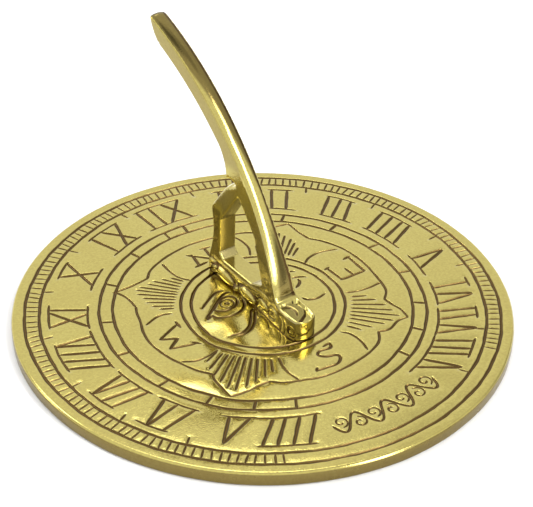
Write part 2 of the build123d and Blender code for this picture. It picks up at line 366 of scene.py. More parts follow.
# the four letters, tops to the centre
LETTERS = (
    ((-6.2, 36.8), (-4.4, 45.4)), ((-6.4, 46.2), (1.4, 37.8)), ((1.2, 38.2), (2.6, 46.4)),
    ((-8.2, 36.9), (-2, 37.4)), ((0.8, 46.9), (5.4, 46)), ((36.2, -5.2), (48.6, -5.8)),
    ((36.8, -4.9), (36.5, 4.7)), ((42.8, -5), (42.7, 0.3)), ((48.3, -5.8), (49.1, 6.2)),
    ((35.2, 4.3), (37.8, 4.9)), ((46.2, 5.8), (49.7, 6.4)),
    ((6, -36.1), (4.6, -38.6), (-0.4, -37.9), (-2.3, -39.6), (-0.4, -42), (3.6, -43.5), (4, -45.6),
     (0.8, -48), (-4.4, -47.5), (-8.4, -46.9)),
    ((2.6, -36.5), (6.2, -35.9)), ((-8.9, -47), (-7.4, -45.6)), ((-36.6, 8.4), (-47.3, 3.9)),
    ((-47.3, 3.9), (-41, 0.6)), ((-41, 0.6), (-47.4, -3.2)), ((-47.4, -3.2), (-37, -6.1)),
    ((-35.7, 10.3), (-36.3, 6)), ((-37.7, -4.4), (-35.4, -7.2)),
)

# rays that fan out from the face ring towards the four pointed petals: the middle ray's direction,
# how many there are, the angle between two, and how far the middle one and the outer ones reach
RAYS = ((46, 9, 3, 52, 42.5), (135, 11, 3, 52.5, 41.5),
        (221.5, 10, 3.8, 55, 43.5), (316.5, 9, 3.9, 54.5, 42))
RAY_START, RAY_SAG = 35.6, 0.8  # where the middle ray starts, and how much further out the others
RAY_SHIFT, RAY_REACH = 0.5, 0.9  # how uneven they are, in degrees and in length


def cut_compass(cuts):
    """The compass flower: four rounded petals with letters, four pointed ones filled with rays."""
    for run, after in zip(FLOWER, FLOWER[1:] + FLOWER[:1]):
        cuts.cut(run + after[:1], width=1.0, wander=0.1, taper=0.8)
    for run in PETAL_SIDES:
        cuts.cut(run, width=0.95, wander=0.1)
    for run in LETTERS:
        cuts.cut(run, width=1.2, wander=0.05, step=0.8)
    for middle, count, gap, long_reach, short_reach in RAYS:
        for index in range(count):
            place = (index - (count - 1) / 2) / ((count - 1) / 2)
            angle = middle + gap * place * (count - 1) / 2
            angle += RAY_SHIFT * waver(index, middle, 0.9)
            reach = short_reach + (long_reach - short_reach) * (1 - abs(place) ** 1.5)
            reach += RAY_REACH * waver(index, middle + 4, 0.7)
            start = RAY_START + RAY_SAG * abs(place)
            cuts.spoke((start, reach), (angle, angle), width=0.95, wander=0.06)


# the face in the middle ring: the sun's open eye in the west, the moon's closed one in the east
SUN_FACE = (
    ((-22.3, 11.2), (-19.4, 13.2), (-16, 15.1), (-13.2, 16.6), (-11, 17.2), (-8.6, 17)),
    ((-24.8, 4), (-23.2, 5.8), (-21.2, 7), (-17.1, 10), (-13.5, 12.3), (-11, 13.8), (-8.6, 14.7),
     (-6.6, 14.4)),
    ((-19.4, 7.6), (-16.9, 9.4), (-14.8, 11), (-11.4, 12.5), (-8.4, 12), (-6.6, 9.8)),
    ((-18.8, 8), (-17.9, 6.3), (-15.4, 4.9), (-12.5, 4.6), (-9.9, 5.2), (-7.8, 7), (-6.9, 9.4)),
    ((-24.6, 3.9), (-21.6, 5.1), (-20.9, 3), (-17.9, 1.4), (-14.2, 0.6), (-10, 1.2), (-6.5, 4),
     (-5.1, 7.4)),
    ((-5.3, -0.6), (-7.2, -1.6), (-8.4, -3.4), (-10.2, -5.6), (-12.2, -8), (-14.6, -9.8),
     (-17.6, -10.7), (-20.6, -10.2), (-23.6, -9.4)),
    ((-5.6, -2.6), (-7.4, -4.6), (-9.4, -7.4), (-11.8, -9.6), (-14.4, -11.3), (-17.8, -12),
     (-20.8, -11.4)),
)
SUN_EYE = (-12.0, 8.4)
EYE_RINGS = ((2.9, 0.7), (0.75, 0.8))  # radius and width of cut
EYE_SQUASH = 0.92
MOON_FACE = (
    ((15.4, -6), (16.2, -8.2), (18.8, -9.5), (21.8, -9.7), (24.9, -8.9)),
    ((20.2, 7.6), (23, 6.6), (25.7, 4.9)),
    ((21.9, 5.6), (21.4, 3.6), (19.6, 2), (17.4, 1)),
    ((21.4, 12.4), (24, 10.8)),
    ((13.4, 16.9), (16.4, 15.8), (19.2, 14)),
)


def cut_face(cuts):
    """The sun and moon that share the middle ring."""
    for run in SUN_FACE + MOON_FACE:
        cuts.cut(run, width=1.1, step=0.7, wander=0.05, taper=0.4)
    for radius, width in EYE_RINGS:
        turns = np.linspace(0, 2 * math.pi, 17)
        eye = SUN_EYE + radius * np.column_stack([np.cos(turns), EYE_SQUASH * np.sin(turns)])
        cuts.cut(eye, width=width, step=0.5, wander=0.0, closed=True)


# the ornament in the southern stretch of the hour band: a vine with curled shoots
VINE_FROM, VINE_TO, VINE_R, VINE_SWING, VINE_WAVES = 252.8, 288.2, 79.6, 4.6, 3.5
SHOOT_TURNS, SHOOT_R, SHOOT_SHRINK = 1.15, 3.1, 2.3
SHOOT_OFFSET = 1.2  # the shoots curl this far to the hollow side of the vine's middle line


def cut_vine(cuts):
    """A plain wavy vine with a curled shoot in each bend."""
    share = np.linspace(0, 1, 57)
    angles = VINE_FROM + (VINE_TO - VINE_FROM) * share
    swing = VINE_SWING * np.sin(2 * math.pi * VINE_WAVES * share)
    cuts.cut([polar(VINE_R + s, a) for a, s in zip(angles, swing)], width=1.0, step=0.9, wander=0.1)
    bends = int(2 * VINE_WAVES)
    for bend in range(bends):
        middle = VINE_FROM + (VINE_TO - VINE_FROM) * ((bend + 0.5) / bends)
        side = 1 if bend % 2 == 0 else -1
        centre = np.array(polar(VINE_R - side * SHOOT_OFFSET, middle))
        start = math.radians(middle) + (0 if side > 0 else math.pi)
        shoot = []
        for share in np.linspace(0, 1, 15):
            turn = start + side * 2 * math.pi * SHOOT_TURNS * share
            radius = SHOOT_R - SHOOT_SHRINK * share
            shoot.append(centre + radius * np.array((math.cos(turn), math.sin(turn))))
        cuts.cut(shoot, width=0.75, step=0.7, wander=0.05)


def dial_drawing():
    """Everything that is engraved in the plate's face."""
    cuts = Cuts()
    for draw in (cut_rings, cut_marks, cut_numerals, cut_compass, cut_face, cut_vine):
        draw(cuts)
    return cuts


# ---- sheets and meshes
def loop_edges(first, count):
    """The edges round a closed loop of points."""
    return [(first + k, first + (k + 1) % count) for k in range(count)]


def triangulate(points, edges, keep):
    """A flat sheet of triangles through the points. keep says, from their centres, which stay."""
    found = delaunay_2d_cdt([Vector(point) for point in points], edges, [], 0, MERGE, False)
    where = np.array([tuple(point) for point in found[0]])
    faces = np.array(found[2])
    faces = faces[keep(where[faces].mean(axis=1))]
    used, faces = np.unique(faces, return_inverse=True)
    return where[used], faces.reshape(-1, 3)


def hexagonal(half, step):
    """A field of points in a triangular pattern over a square."""
    rows = []
    for index, y in enumerate(np.arange(-half, half + step, step * 0.866)):
        x = np.arange(-half, half + step, step) + (step / 2 if index % 2 else 0)
        rows.append(np.stack([x, np.full(len(x), y)], 1))
    return np.vstack(rows)


def read_vectors(data, name):
    """A mesh's vectors as an array."""
    values = np.zeros(len(data) * 3, np.float32)
    data.foreach_get(name, values)
    return values.reshape(-1, 3).astype(float)


class Builder:
    """Gathers vertices and faces in millimetres, and welds them into one mesh object in metres."""

    def __init__(self):
        self.points, self.faces, self.normals, self.marks, self.count = [], [], [], [], 0

    def add(self, points, faces, normals=None, marks=None):
        """Adds a patch. normals are its shading normals where known. marks say how dark it is with
        patina, tarnish and painted shade, up to 1, or below 0 how raw the casting is."""
        points = np.asarray(points, float)
        self.points.append(points)
        self.normals.append(np.zeros_like(points) if normals is None else normals)
        self.marks.append(np.zeros(len(points)) if marks is None else marks)
        self.faces += [tuple(index + self.count for index in face) for face in faces]
        self.count += len(points)

    def strip(self, rows, marks=None, corners=((0, 0), (0, 1), (1, 1), (1, 0))):
        """Adds quads between closed rows of as many points each. corners gives a quad's corners in
        order, as steps from row to row and from point to point."""
        count = len(rows[0])
        faces = [[(row + down) * count + (k + on) % count for down, on in corners]
                 for row in range(len(rows) - 1) for k in range(count)]
        self.add(np.vstack(rows), faces, marks=marks)

    def finish(self, name):
        """Welds the patches into one mesh in metres, with its shading normals and its marks."""
        mesh = bpy.data.meshes.new(name)
        mesh.from_pydata((np.vstack(self.points) * MM).tolist(), [], self.faces)
        depth = mesh.attributes.new("cut_depth", "FLOAT", "POINT")
        depth.data.foreach_set("value", np.concatenate(self.marks).astype(np.float32))
        known = mesh.attributes.new("known_normal", "FLOAT_VECTOR", "POINT")
        known.data.foreach_set("vector", np.vstack(self.normals).astype(np.float32).ravel())
        welded = bmesh.new()
        welded.from_mesh(mesh)
        bmesh.ops.remove_doubles(welded, verts=welded.verts, dist=2 * MERGE * MM)
        welded.to_mesh(mesh)
        welded.free()
        mesh.polygons.foreach_set("use_smooth", np.ones(len(mesh.polygons), bool))
        sure = read_vectors(mesh.attributes["known_normal"].data, "vector")
        normals = read_vectors(mesh.vertex_normals, "vector")
        given = sure.any(axis=1)
        normals[given] = sure[given]
        mesh.attributes.remove(mesh.attributes["known_normal"])
        mesh.normals_split_custom_set_from_vertices(normals.tolist())
        piece = bpy.data.objects.new(name, mesh)
        bpy.context.scene.collection.objects.link(piece)
        return piece


# ---- the dial plate
# soft hollows that years of polishing left in the face: centre, radius and depth
HOLLOWS = (((-28.6, -11), 6.5, 0.55), ((-27.6, -3), 6, 0.5), ((-41, -40), 7, 0.6),
           ((-55.5, -31.5), 6, 0.5), ((-49.5, -42), 6.5, 0.55))
SWELL = 0.02  # how high the face's long low waves are
WEAR, WEAR_REACH = 0.09, 5.5  # depth, and reach in half widths of the cut
FADE = 4.0  # the swell dies out over this width along the rim
SLOPE_STEP = 0.05  # over which the face's slope is measured
GRID, GRID_GAP = 2.3, 2.2  # the plain face's points: spacing, and gap from cuts in half widths
UNDER_GRID = 6.0


def swell(where):
    """The face's slight unevenness: long low waves and a few hollows."""
    x, y = where.T
    height = SWELL * (np.sin(x / 9.1 + 0.8) * np.sin(y / 11.3 + 1.9)
                      + 0.6 * np.sin((x + y) / 6.1) * np.sin((x - y) / 7.3))
    for (centre_x, centre_y), radius, depth in HOLLOWS:
        height -= depth * np.exp(-((x - centre_x) ** 2 + (y - centre_y) ** 2) / radius ** 2)
    return height * ramp(np.hypot(x, y), FACE_R, -FADE)


def from_screws(where):
    """Each point's distance from the nearer screw's axis."""
    return np.min([np.hypot(where[:, 0], where[:, 1] - y) for y in SCREW_Y], axis=0)


def face_height(cuts, where):
    """The height of the face at each point, worn beside the cuts, and how deep in a cut it is."""
    deep, gap = cuts.measure(where)
    worn = WEAR * np.clip(1 - gap / WEAR_REACH, 0, 1) ** 2
    clear = ramp(from_screws(where), CLEARANCE_R + HOLE_LIP, HOLE_MARGIN)
    deep *= clear
    return PLATE_TOP - CUT_DEPTH * deep - worn * clear + swell(where), deep


def rim_wander(turns):
    """How far the hand-filed rim stands in or out, round the plate."""
    return sum(rise * np.sin(waves * turns + phase) for rise, waves, phase in RIM_WAVES)


def plate_sheet(points, edges, rim_r, hole_r):
    """A flat sheet from the plate's rim to its screw holes, with the points and edges in it."""
    holes = [circle(hole_r, HOLE_STEPS, (0, y)) for y in SCREW_Y]
    for loop in [circle(rim_r, RIM_STEPS)] + holes:
        edges = edges + loop_edges(len(points), len(loop))
        points = np.vstack([points, loop])
    return triangulate(points, edges, lambda c: from_screws(c) > hole_r * IN_HOLE)


def add_top_face(builder, cuts):
    """The engraved face, from the screw holes to the rounded rim."""
    rows, edges = cuts.mesh_points()
    clear = from_screws(rows) > CLEARANCE_R + HOLE_MARGIN
    fresh = np.cumsum(clear) - 1
    edges = [(int(fresh[a]), int(fresh[b])) for a, b in edges if clear[a] and clear[b]]
    field = hexagonal(FACE_R, GRID)
    field = field[np.hypot(*field.T) < FACE_R - GRID / 2]
    _, gap = cuts.measure(field)
    field = field[(gap > GRID_GAP) & (from_screws(field) > CLEARANCE_R + HOLE_MARGIN)]
    where, faces = plate_sheet(np.vstack([rows[clear], field]), edges, FACE_R, CLEARANCE_R)
    height, deep = face_height(cuts, where)
    slopes = [(face_height(cuts, where + step)[0] - height) / SLOPE_STEP
              for step in np.eye(2) * SLOPE_STEP]
    normals = np.stack([-slopes[0], -slopes[1], np.ones(len(where))], 1)
    normals /= np.linalg.norm(normals, axis=1, keepdims=True)
    builder.add(np.column_stack([where, height]), faces, normals, deep)


def add_rim(builder):
    """The rounded rim, from the face's border down the side and round to the underside."""
    turns = np.arange(RIM_STEPS) * 2 * math.pi / RIM_STEPS
    outward = circle(1.0, RIM_STEPS)
    profile = [(FACE_R, PLATE_TOP),
               *arc((PLATE_R - RIM_R, PLATE_TOP - RIM_R), RIM_R, 90, 0, RIM_PIECES), *SIDE,
               *arc((PLATE_R - LOWER_INSET, LOWER_R), LOWER_R, 0, -90, LOWER_PIECES),
               (PLATE_R - UNDER_INSET, 0.0)]
    rows, marks = [], []
    for radius, height in profile[::-1]:
        upper = height > SIDE[1][1] / 2
        start, span = (FACE_R, RIM_R) if upper else (PLATE_R - UNDER_INSET, FILED_FADE)
        local = radius + (rim_wander(turns) - FILED) * ramp(radius, start, span)
        rows.append(np.column_stack([outward * local[:, None], np.full(RIM_STEPS, height)]))
        marks += [RIM_TARNISH * (PLATE_TOP - height > TARNISH_DROP)] * RIM_STEPS
    builder.strip(rows, marks)


def add_underside(builder):
    """The flat cast underside, and the two countersunk holes up through the plate."""
    field = hexagonal(PLATE_R, UNDER_GRID)
    field = field[np.hypot(*field.T) < PLATE_R - UNDER_GRID]
    field = field[from_screws(field) > SINK_R + 2]
    where, faces = plate_sheet(field, [], PLATE_R - UNDER_INSET, SINK_R)
    down = np.tile((0.0, 0.0, -1.0), (len(where), 1))
    builder.add(np.column_stack([where, np.zeros(len(where))]), faces[:, ::-1], down)
    for y in SCREW_Y:
        rows = []
        for radius, height in ((SINK_R, 0.0), (CLEARANCE_R, SINK_R - CLEARANCE_R),
                               (CLEARANCE_R, PLATE_TOP)):
            ring = circle(radius, HOLE_STEPS, (0, y))
            rows.append(np.column_stack([ring, np.full(HOLE_STEPS, height)]))
        rows[-1][:, 2] = PLATE_TOP + swell(rows[-1][:, :2])
        builder.strip(rows[::-1])


def make_plate():
    """The engraved plate, which stands for the plain CAD one."""
    cuts = dial_drawing()
    builder = Builder()
    add_top_face(builder, cuts)
    add_rim(builder)
    add_underside(builder)
    piece = builder.finish("engraved_dial_plate")
    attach(piece, "root")
    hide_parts("dial_plate")
    return piece


# ---- the gnomon
# side view: distance north of the centre and height over the plate's top
TOE_END = -29.5
TOE = ((-29.5, 0), (-29.5, 8.2), (-29.2, 9), (-28.4, 9.4), (-17.4, 10.2))
STEP = ((-16.9, 10.9), (-15.6, 11.2))  # the small ledge between the toe and the style
STYLE_CENTRE, STYLE_R = (120.108, -35.965), 143.13  # the arc of the style's upper face
STYLE_FROM, STYLE_TO = 160.25, 108.7  # along that arc, in degrees about its centre
STYLE_DEPTH = 7.2
UNDER_FROM, UNDER_TO = 112.2, 130.5  # and along its underside
STYLE_PIECES, UNDER_PIECES = 128, 43
TIP = ((73.4, 96.7), (71.6, 93.2))  # the tip's end, a little rounded, down to its lower corner
HEEL = ((25.9, 62), (22.6, 56), (21.7, 50.2))
NOTCH = ((18.6, 51.1), (15.2, 50), (17.1, 48.2))
UPRIGHT = ((20.8, 46.3), (24.2, 42.2), (28.2, 36.6), (30.7, 32.5), (30.2, 28.2), (29.7, 21.5),
           (30.9, 14), (32.9, 7), (33.2, 0))
WINDOW = ((13.3, 45.6), (25.1, 28.4), (25.5, 12.4), (22.9, 9.9), (2.9, 9.8), (-4.6, 13.1),
          (1.2, 32.3))
WINDOW_CORNER_R, CORNER_REACH = 1.4, 1.6  # the corners' roundness, and how far it reaches at most
LOOP_STEP, TOE_STEP = 0.8, 0.4
AWAY_RUN = 16  # segments of an outline that are measured together

# half widths, in plan and in the front view
NOSE_Y, NOSE_HALF_W = -26.9, 5.2
PLAN_WIDTHS = ((-26.9, 5.2), (-23, 5.6), (-14.6, 5.1), (-6, 4.4), (4, 4.1), (20, 4.1), (80, 4.1))
FRONT_WIDTHS = ((0, 6), (10.6, 6), (22, 4.6), (42, 3.5), (62, 3.4), (101, 3.8))
EDGE_R, TOE_EDGE_R, FOOT_EDGE_R = 0.55, 1.0, 0.3  # how round the arrises, the toe's and foot's are
MOST_ROUND, FOOT_ROUND = 0.85, 0.1  # their greatest shares of the half width
TOE_ROUND = (-19.0, -13.0)  # the toe's roundness dies out between these
TOUCH = 0.001  # nearer than this is on the line
UPPER_FACE = 1.5  # what is less far inside the style's arc is its upper face
BELOW = -10.0  # the outline is taken down to here where the foot's edge doesn't count
BAND_STEPS = 24
CROWN, WINDOW_CROWN = 0.55, 0.25  # how far the outside and the window's walls bulge in the middle
CROWN_FROM, CROWN_FADE = 10.0, 6.0  # the bulge begins at this height, and is full this far over it
INSETS = (0.08, 0.3, 0.62, 1.0)  # rows of points along the arrises, in their radius
SIDE_GRID, FINE_TOP, THINNING = 0.62, 20, 3  # the sides' points, fewer above this height
ROW_GAP, FIELD_GAP = 0.97, 1.25  # how near to an edge the points may lie, in those rows' distances


def rounded(corners, radius, steps=4):
    """A closed outline with its corners rounded."""
    corners = np.array(corners, float)
    points = []
    for before, corner, after in zip(np.roll(corners, 1, 0), corners, np.roll(corners, -1, 0)):
        back, ahead = before - corner, after - corner
        back /= np.linalg.norm(back)
        ahead /= np.linalg.norm(ahead)
        half_turn = math.acos(np.clip(back @ ahead, -1, 1)) / 2
        cut = min(radius / math.tan(half_turn), CORNER_REACH)
        for share in np.linspace(0, 1, steps + 1):
            start, end = corner + back * cut * (1 - share), corner + ahead * cut * share
            points.append(start + (end - start) * share)
    return np.array(points)


def resample_loop(points, step):
    """The stations of a closed loop, about a step apart, with every corner kept."""
    points = np.asarray(points, float)
    out = []
    for start, end in zip(points, np.roll(points, -1, 0)):
        count = max(1, int(round(np.linalg.norm(end - start) / step)))
        out += [start + (end - start) * share for share in np.arange(count) / count]
    return np.array(out)


def gnomon_outline():
    """The gnomon's side view, from the toe up the style, round its tip and down the upright."""
    toe = evenly(TOE, TOE_STEP)[0].tolist() + list(STEP)
    style = arc(STYLE_CENTRE, STYLE_R, STYLE_FROM, STYLE_TO, STYLE_PIECES)
    under = arc(STYLE_CENTRE, STYLE_R - STYLE_DEPTH, UNDER_FROM, UNDER_TO, UNDER_PIECES)
    back = smooth(under[-1:] + list(HEEL), 5).tolist()
    notch = smooth(HEEL[-1:] + NOTCH, 5).tolist()
    upright = smooth(NOTCH[-1:] + UPRIGHT, 5).tolist()
    tip = smooth(style[-1:] + list(TIP), 5).tolist()
    loop = toe + style + tip[1:] + under + back[1:] + notch[1:] + upright[1:]
    return resample_loop(loop, LOOP_STEP)


def loop_normals(loop):
    """The unit normal at each point of a closed loop, to its left."""
    return sideways(np.vstack([loop, loop[:1]]), closed=True)[:-1]


def away_from(loop, where):
    """Each point's distance from a closed loop."""
    nearest = np.full(len(where), 1e9)
    ends = np.roll(loop, -1, 0)
    for first in range(0, len(loop), AWAY_RUN):
        start = loop[first:first + AWAY_RUN]
        run = ends[first:first + AWAY_RUN] - start
        offset = where[:, None] - start
        share = np.clip((offset * run).sum(2) / np.maximum((run ** 2).sum(1), 1e-9), 0, 1)
        gap = np.linalg.norm(offset - share[..., None] * run, axis=2)
        nearest = np.minimum(nearest, gap.min(1))
    return nearest


def inside(loop, where):
    """Which points lie inside a closed loop."""
    x, y = where.T
    odd = np.zeros(len(where), bool)
    for (x0, y0), (x1, y1) in zip(loop, np.roll(loop, -1, 0)):
        crosses = (y0 > y) != (y1 > y)
        with np.errstate(divide="ignore", invalid="ignore"):
            odd ^= crosses & (x < (x1 - x0) * (y - y0) / (y1 - y0) + x0)
    return odd


def half_width(where):
    """The gnomon's half width at points of its side view, before its arrises are rounded."""
    north, height = where.T
    plan, front = smooth(PLAN_WIDTHS).T, smooth(FRONT_WIDTHS).T
    width = np.minimum(np.interp(north, *plan), np.interp(height, *front))
    reach = ramp(north, TOE_END, NOSE_Y - TOE_END)
    nose = NOSE_HALF_W * np.sqrt(np.clip(1 - (1 - reach) ** 2, 0, 1))
    return np.where(north < NOSE_Y, np.minimum(width, nose), width)


def edge_radius(where):
    """How round the arrises are near each point of the side view."""
    share = ramp(where[:, 0], TOE_ROUND[0], TOE_ROUND[1] - TOE_ROUND[0])
    return np.minimum(TOE_EDGE_R + (EDGE_R - TOE_EDGE_R) * share, MOST_ROUND * half_width(where))


def rounding(away, radius):
    """How far a surface falls away at a distance from its arris."""
    near = np.clip(1 - away / np.maximum(radius, 1e-6), 0, 1)
    return radius * (1 - np.sqrt(1 - near ** 2))


# relief cast in the gnomon's sides, in the side view: soft swellings (centre, half length, half
# height, slope in degrees, rise) and fine ridges or grooves (points, width, rise)
SWELLINGS = (
    ((21.5, 3.3), 7.6, 2.9, 6, 1.5), ((12.9, 1.8), 1.6, 1.5, 0, 1.3),
    ((5, 3.2), 6.2, 2.7, 9, 1.5), ((-6.4, 4.4), 4.2, 2.6, 14, 0.9), ((29.6, 5), 2.2, 4.4, 84, 0.9),
)
RIDGES = (
    (((30, 8.6), (24, 7.6), (17, 7.4), (10, 7.2), (2, 8.2), (-5, 9.8), (-10.5, 9.4)), 1.2, 0.45),
    (((-10.5, 1.5), (-14.2, 1.6), (-16.6, 3.6), (-15.9, 6.4), (-12.9, 7.2), (-10.9, 5.4),
      (-12.3, 3.8)), 1.3, 0.55),
    (((-18.8, 0.8), (-19.4, 3.4), (-18.9, 6.6)), 1, -0.4),
    (((-21.6, 0.8), (-22.2, 3.6), (-21.7, 6.6)), 1, -0.4),
    (((13.8, 5.6), (10.4, 4.7), (8, 5.8)), 0.8, -0.35),
    (((0.6, 5.7), (-2.4, 4.2), (-1.6, 2)), 0.8, -0.35),
    (((-6.5, 12.6), (-9.2, 14.6), (-8.6, 17.2), (-6.5, 17), (-6.9, 15.2)), 1, 0.4),
)
RELIEF_FADE = 1.2  # the relief dies out over this width along the edges
# the sides' finish: marks above 0 are tarnish and painted shade, marks below 0 raw casting
TARNISH = 0.18  # on the upper style
RAW_SIDES, LOW_TOP, LOW_FADE = 0.8, 58.0, 24.0  # how raw they are below this height
UPRIGHT_TARNISH, UPRIGHT_FROM, UPRIGHT_TOP = 0.24, (22, 3), (38, -6)
PAINTED_SHADE, FOOT_SHADE_HEIGHT = 0.55, 1.2  # painted shade along the foot where it meets the plate, up to this height,
SHADE_RING = (1.15, 0.45)  # and painted shade in a ring round the swellings
FINISH_RISE, LEAST_FINISH = 0.5, 0.1  # parts that stand out this far are rubbed almost bright
LEAST_PATINA_AND_SHADE = 0.1  # less patina and painted shade than this doesn't hide the finish
RAW_WALL, RAW_SILL = 0.85, 0.12  # how raw the window's walls and its sill are
# painted dark reflection: a brown stripe on the style's upper face, and more along its east edge
STYLE_PAINTED_REFLECTION = 0.25
EAST_PAINTED_REFLECTION, EAST_FROM = 0.2, 0.6  # what the style's east edge has over that
# the stripe of painted dark reflection on the style's upper face: its western border by height, in
# half widths
STRIPE = ((10, -0.9), (18, -0.6), (27, -0.15), (37, 0.35), (50, 0.6), (62, 0.1), (76, -0.5),
          (88, -1.2))
STRIPE_FADE = 0.3
VOLUTE = (-25.6, 3.9)  # the scroll on the toe's rounded end
VOLUTE_R, VOLUTE_SHRINK, VOLUTE_FROM, VOLUTE_TURNS = 2.7, 0.86, 200, 2.2


def volute():
    """The spiral of the scroll on the toe."""
    share = np.linspace(0, 1, 34)
    turns = math.radians(VOLUTE_FROM) + 2 * math.pi * VOLUTE_TURNS * share
    radius = VOLUTE_R * (1 - VOLUTE_SHRINK * share)
    return list(zip(VOLUTE[0] + radius * np.cos(turns), VOLUTE[1] + radius * np.sin(turns)))


def side_relief(where):
    """How far the sides stand out over their plain width, how dark each point is with painted shade
    along the foot and round the swellings and with patina in a groove, and its mark elsewhere."""
    out, (north, height) = np.zeros(len(where)), where.T
    # painted shade where the foot meets the plate
    dark = PAINTED_SHADE * ramp(height, FOOT_SHADE_HEIGHT, -FOOT_SHADE_HEIGHT)
    for (centre, level), long, tall, slope, rise in SWELLINGS:
        cosine, sine = polar(1, slope)
        along = (north - centre) * cosine + (height - level) * sine
        across = (height - level) * cosine - (north - centre) * sine
        oval = (along / long) ** 2 + (across / tall) ** 2
        out += rise * np.sqrt(np.clip(1 - oval, 0, 1))
        # painted shade in a ring round the edge of each swelling, where it meets the flat side
        ring = np.abs(oval - SHADE_RING[0]) / SHADE_RING[1]
        dark = np.maximum(dark, PAINTED_SHADE * np.clip(1 - ring, 0, 1))
    for run, width, rise in RIDGES + ((volute(), 0.8, -0.5),):
        deep = groove(where, run, width=width, wander=0, taper=0.6)
        out += rise * deep
        if rise < 0:
            dark = np.maximum(dark, deep)
    flat = np.clip(1 - out / FINISH_RISE, LEAST_FINISH, 1)
    low = ramp(height, LOW_TOP, -LOW_FADE)
    upright = ramp(north, *UPRIGHT_FROM) * ramp(height, *UPRIGHT_TOP)
    raw = -RAW_SIDES * (1 - upright) + UPRIGHT_TARNISH * upright
    return out, dark, flat * (TARNISH * (1 - low) + raw * low)


def rounded_half_width(where, outline, window):
    """The half width with the arrises rounded, and each point's distance from the nearest one."""
    upper = outline[outline[:, 1] > TOUCH]
    upper = np.vstack([(upper[0, 0], BELOW), upper, (upper[-1, 0], BELOW), (0.0, 4 * BELOW)])
    away = np.minimum(away_from(upper, where), away_from(window, where))
    away, foot = [np.where(gap < TOUCH, 0, gap) for gap in (away, where[:, 1])]
    width = half_width(where)
    side = width - rounding(away, edge_radius(where))
    side -= rounding(foot, np.minimum(FOOT_EDGE_R, FOOT_ROUND * width))
    return np.maximum(side, 0), away


def add_sides(builder, outline, window):
    """Both flat sides of the gnomon, rounded towards every edge and carrying the relief."""
    def metal(where):
        return inside(outline, where) & ~inside(window, where)

    def off_edges(where):
        return np.minimum(away_from(outline, where), away_from(window, where))

    points, edges, count = [], [], 0
    for loop in (outline, window):
        points.append(loop)
        edges += loop_edges(count, len(loop))
        count += len(loop)
        for inset in INSETS:
            for sign in (-1, 1):
                row = loop + loop_normals(loop) * inset * EDGE_R * sign
                row = row[(off_edges(row) > inset * EDGE_R * ROW_GAP) & metal(row)]
                points.append(row)
                count += len(row)
    low, high = outline.min(0), outline.max(0)
    field = hexagonal(max(high - low), SIDE_GRID) + low
    field = field[(field[:, 1] < FINE_TOP) | (np.arange(len(field)) % THINNING == 0)]
    field = field[(off_edges(field) > EDGE_R * FIELD_GAP) & metal(field)]
    where, faces = triangulate(np.vstack(points + [field]), edges, metal)
    side, away = rounded_half_width(where, outline, window)
    relief, dark, finish = side_relief(where)
    side += relief * ramp(away, 0, RELIEF_FADE)
    finish *= ramp(away, 0, EDGE_R)
    marks = np.where(dark > LEAST_PATINA_AND_SHADE, dark, finish)
    for sign in (-1, 1):
        solid = np.column_stack([sign * side, where[:, 0], where[:, 1] + PLATE_TOP])
        builder.add(solid, faces[:, ::sign], marks=marks)


# the raised facet on the toe's top, in plan, with the lower crescent shelf round it
FACET = ((-9, -12), (0.6, -16.4), (2.2, -19.6), (3, -22.6), (1.4, -25.2), (-1.4, -26.9),
         (-9, -30.5))
TOE_TOP_FROM, TOE_TOP_TO = 8.9, STEP[0][0] - 0.4  # the toe's top: its least height, and its end
SHELF_DROP, SHELF_SLOPE = 1.25, 0.9  # how far the shelf lies lower, and over what width
RIPPLE = 0.25  # how uneven the slope between the two is
FACET_GROOVE = ((-3.4, -17.4), (-1.2, -19.4), (-0.6, -22.2), (-1.8, -25))
GROOVE_DEPTH = 0.3
# the first is painted shade in a band along the slope from the facet down to the shelf
SLOPE_PAINTED_SHADE, GROOVE_MARK, FACET_MARK, LEAST_MARK = 0.75, 0.5, 0.16, 0.05


def toe_top(plan):
    """How far the toe's top lies lower at each point in plan, and how dark the point is, with
    painted shade along the slope down to the shelf.
    """
    facet = np.array(FACET)
    gap = np.where(inside(facet, plan), 0, away_from(facet, plan))
    ripple = RIPPLE * np.sin(plan[:, 0] * 4.1 + plan[:, 1] * 3.3)
    fall = ramp(gap, 0, SHELF_SLOPE)
    # painted shade, darkest halfway down the slope
    edge = np.where(gap > 0, 4 * fall * (1 - fall), 0)
    deep = groove(plan, FACET_GROOVE, width=0.9, wander=0.05)
    dark = np.maximum.reduce([SLOPE_PAINTED_SHADE * edge, GROOVE_MARK * deep, FACET_MARK * (gap == 0)])
    return SHELF_DROP * fall + ripple * edge + GROOVE_DEPTH * deep, dark


def outline_painted_reflection(loop, part):
    """The painted dark reflection on the style's upper face: the stripe, and more along the east
    edge.
    """
    border = np.interp(loop[:, 1], *np.array(STRIPE).T)
    upper = (np.hypot(*(loop - STYLE_CENTRE).T) > STYLE_R - UPPER_FACE) & (loop[:, 1] > STEP[-1][1])
    # painted dark reflection across the upper face, from the stripe's western border eastwards
    stripe = STYLE_PAINTED_REFLECTION * ramp(part, border, STRIPE_FADE)
    return upper * (stripe + EAST_PAINTED_REFLECTION * ramp(part, EAST_FROM, STRIPE_FADE))


def window_finish(loop, part):
    """The finish inside the window: left as cast, the sill a little smoother than the walls."""
    return -np.maximum(RAW_WALL * np.abs(loop_normals(loop)[:, 0]), RAW_SILL)


